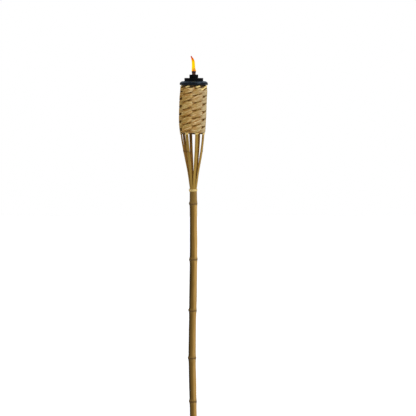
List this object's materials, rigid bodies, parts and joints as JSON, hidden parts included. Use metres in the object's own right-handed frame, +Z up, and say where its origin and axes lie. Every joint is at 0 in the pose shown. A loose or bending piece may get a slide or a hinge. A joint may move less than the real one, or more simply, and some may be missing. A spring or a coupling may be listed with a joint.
{
  "type": "garden torch",
  "caption": "Bamboo garden torch: a noded culm whose slit top is woven into a basket, holding a lift-out oil canister with a screw-on wick burner.",
  "frame": {"origin": "centre of the culm's cut foot, which is also on the canister's axis", "axes": "+Z up along the torch; -Y is the front; +X to the right seen from the front"},
  "size_m": [0.0877, 0.085, 1.219],
  "materials": {
    "bamboo_culm": "satin golden-brown bamboo, darker in streaks and at the nodes",
    "bamboo_weave": "matte split bamboo, fibrous, tan",
    "pale_cane": "satin pale cane",
    "black_enamel": "satin black enamel",
    "tinned_steel": "bright tinned steel",
    "gasket_rubber": "matte black rubber",
    "wick_fibre": "braided glass fibre, oil-stained, charred at the top"
  },
  "bodies": {
    "stand": {"pole": "bamboo_culm", "splint_1": "bamboo_culm", "splint_2": "bamboo_culm", "splint_3": "bamboo_culm", "splint_4": "bamboo_culm", "splint_5": "bamboo_culm", "splint_6": "bamboo_culm", "splint_7": "bamboo_culm", "splint_8": "bamboo_culm", "weave_strand_a": "bamboo_weave", "weave_strand_b": "bamboo_weave", "top_cane": "pale_cane", "bottom_cane": "pale_cane", "pole_binding": "pale_cane"},
    "canister": {"can_wall": "black_enamel", "can_bottom": "black_enamel", "can_flange": "black_enamel"},
    "gasket": {"cap_gasket": "gasket_rubber"},
    "burner": {"burner_cap": "black_enamel", "wick_collar": "black_enamel", "wick_sleeve": "tinned_steel"},
    "wick": {"wick": "wick_fibre"}
  },
  "joints": [
    {"name": "canister_lift", "type": "slide", "parent": "stand", "child": "canister", "axis": [0, 0, 1], "range_m": [0, 0.125]},
    {"name": "cap_lift", "type": "slide", "parent": "canister", "child": "gasket", "axis": [0, 0, 1], "range_m": [0, 0.00485]},
    {"name": "cap_turn", "type": "hinge", "parent": "gasket", "child": "burner", "pos_m": [0, 0, 1.19], "axis": [0, 0, 1], "range_deg": [0, 576]},
    {"name": "wick_feed", "type": "slide", "parent": "burner", "child": "wick", "axis": [0, 0, 1], "range_m": [-0.004, 0.012]}
  ],
  "couplings": [
    {"joint": "cap_lift", "follows": "cap_turn", "m_per_rad": 0.00047746}
  ]
}
